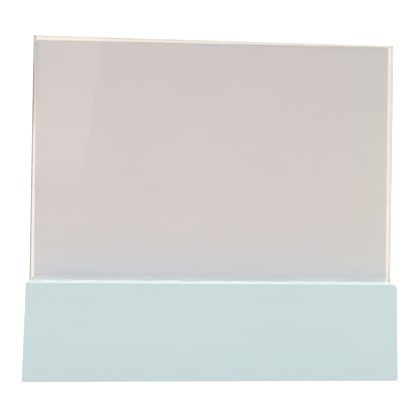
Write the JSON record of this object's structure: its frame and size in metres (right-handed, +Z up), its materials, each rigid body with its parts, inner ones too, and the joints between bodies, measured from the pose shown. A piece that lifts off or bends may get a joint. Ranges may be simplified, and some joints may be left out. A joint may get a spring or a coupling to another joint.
{
  "type": "block photo frame",
  "caption": "Free-standing photo frame: a painted block with a groove along its top that holds a landscape print upright between clear glass panes.",
  "frame": {"origin": "on the table, under the middle of the block", "axes": "+X along the block, to the right from the front; +Y from the front to the back; +Z up"},
  "size_m": [0.1836, 0.028, 0.1683],
  "materials": {
    "painted_wood": "satin pale aqua paint",
    "clear_glass": "clear, with ground edges",
    "photo_paper": "blank, lustre",
    "felt": "pressed pale felt"
  },
  "bodies": {
    "base": {"base_block": "painted_wood", "foot_pad_front_left": "felt", "foot_pad_front_right": "felt", "foot_pad_rear_left": "felt", "foot_pad_rear_right": "felt"},
    "front_pane": {"front_pane": "clear_glass"},
    "rear_pane": {"rear_pane": "clear_glass"},
    "print": {"photo_print": "photo_paper"}
  },
  "joints": [
    {"name": "front_pane_lift", "type": "slide", "parent": "base", "child": "front_pane", "axis": [0, 0, 1], "range_m": [0, 0.011]},
    {"name": "rear_pane_lift", "type": "slide", "parent": "base", "child": "rear_pane", "axis": [0, 0, 1], "range_m": [0, 0.011]},
    {"name": "print_lift", "type": "slide", "parent": "base", "child": "print", "axis": [0, 0, 1], "range_m": [0, 0.13]}
  ]
}
